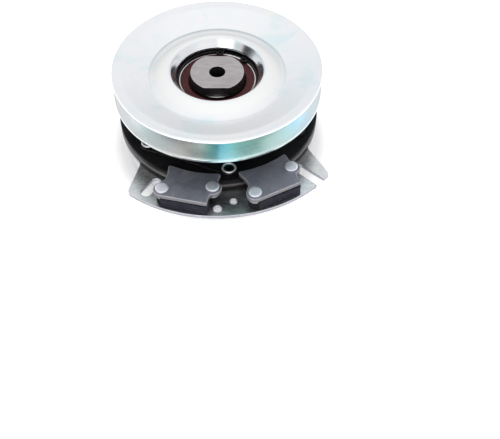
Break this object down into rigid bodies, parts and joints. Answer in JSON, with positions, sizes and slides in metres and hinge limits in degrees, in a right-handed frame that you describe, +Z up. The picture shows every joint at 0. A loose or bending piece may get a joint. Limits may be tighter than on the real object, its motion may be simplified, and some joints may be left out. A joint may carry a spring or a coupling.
{
  "type": "electromagnetic clutch",
  "caption": "Electromagnetic power take-off clutch: V-belt pulley over a spring-hung armature, rotor and stationary coil field with a slotted mounting plate and brake plates.",
  "frame": {"origin": "on the crankshaft bore axis, at the bore's lower end, which is level with the underside of the field cup", "axes": "+Z up the bore axis, from the field towards the pulley and the bolt collar; -Y towards the two brake plates"},
  "size_m": [0.1585, 0.1915, 0.0735],
  "materials": {
    "zinc_bright": "bright zinc plate, satin to bright",
    "zinc_plate": "dull zinc-plated sheet steel",
    "black_steel": "satin black oxide and paint",
    "spring_steel": "blackened spring steel",
    "slate_steel": "phosphated steel, slate grey",
    "magnet_black": "matt moulded magnet block",
    "rivet_zinc": "zinc-plated rivet heads",
    "ground_steel": "ground top, blackened sides",
    "hub_steel": "machined steel, oiled",
    "bearing_steel": "ground and polished bearing steel",
    "seal_brown": "red-brown nitrile rubber seal",
    "cage_brass": "pressed sheet cage",
    "coil_copper": "enamelled copper winding",
    "black_plastic": "glass-filled black nylon",
    "potting": "black epoxy potting",
    "terminal_tin": "tinned brass blades",
    "friction_lining": "brown moulded friction lining"
  },
  "bodies": {
    "field": {"mounting_plate": "zinc_plate", "field_cup": "zinc_plate", "coil_bobbin": "black_plastic", "coil_winding": "coil_copper", "coil_potting": "potting", "connector_housing": "black_plastic", "connector_terminals": "terminal_tin", "field_bearing_outer": "bearing_steel", "field_bearing_seals": "seal_brown", "field_snap_ring": "spring_steel", "brake_plate_left": "slate_steel", "brake_plate_right": "slate_steel", "brake_magnet_left": "magnet_black", "brake_magnet_right": "magnet_black", "brake_spacers": "black_steel", "brake_shims": "spring_steel", "brake_rivets": "rivet_zinc"},
    "rotor": {"rotor_hub": "hub_steel", "rotor_disc": "black_steel", "friction_ring": "friction_lining", "field_bearing_inner": "bearing_steel", "pulley_bearing_inner": "bearing_steel", "hub_retaining_ring": "spring_steel", "bolt_collar": "ground_steel"},
    "pulley": {"pulley_upper_flange": "zinc_bright", "pulley_lower_flange": "zinc_bright", "groove_ring": "zinc_bright", "pulley_hub": "hub_steel", "pulley_bearing_outer": "bearing_steel", "pulley_bearing_seals": "seal_brown", "pulley_snap_ring": "spring_steel", "drive_spider": "black_steel", "spider_rivets": "rivet_zinc", "leaf_springs": "spring_steel", "spring_rivets": "rivet_zinc"},
    "armature": {"armature_disc": "black_steel", "armature_rivets": "rivet_zinc"},
    "field_cage": {"field_bearing_balls": "bearing_steel", "field_bearing_cage": "cage_brass"},
    "pulley_cage": {"pulley_bearing_balls": "bearing_steel", "pulley_bearing_cage": "cage_brass"}
  },
  "joints": [
    {"name": "rotor_spin", "type": "hinge", "parent": "field", "child": "rotor", "pos_m": [0, 0, 0], "axis": [0, 0, 1], "continuous": true},
    {"name": "pulley_spin", "type": "hinge", "parent": "rotor", "child": "pulley", "pos_m": [0, 0, 0], "axis": [0, 0, 1], "continuous": true},
    {"name": "armature_engage", "type": "slide", "parent": "pulley", "child": "armature", "axis": [0, 0, 1], "range_m": [-0.0004, 0], "stiffness_N_per_m": 20000, "springref_m": 0.0005, "deforming": ["leaf_springs"]},
    {"name": "field_cage_spin", "type": "hinge", "parent": "field", "child": "field_cage", "pos_m": [0, 0, 0], "axis": [0, 0, 1], "continuous": true},
    {"name": "pulley_cage_spin", "type": "hinge", "parent": "rotor", "child": "pulley_cage", "pos_m": [0, 0, 0], "axis": [0, 0, 1], "continuous": true}
  ],
  "couplings": [
    {"joint": "field_cage_spin", "follows": "rotor_spin", "ratio": 0.418},
    {"joint": "pulley_cage_spin", "follows": "pulley_spin", "ratio": 0.582}
  ]
}
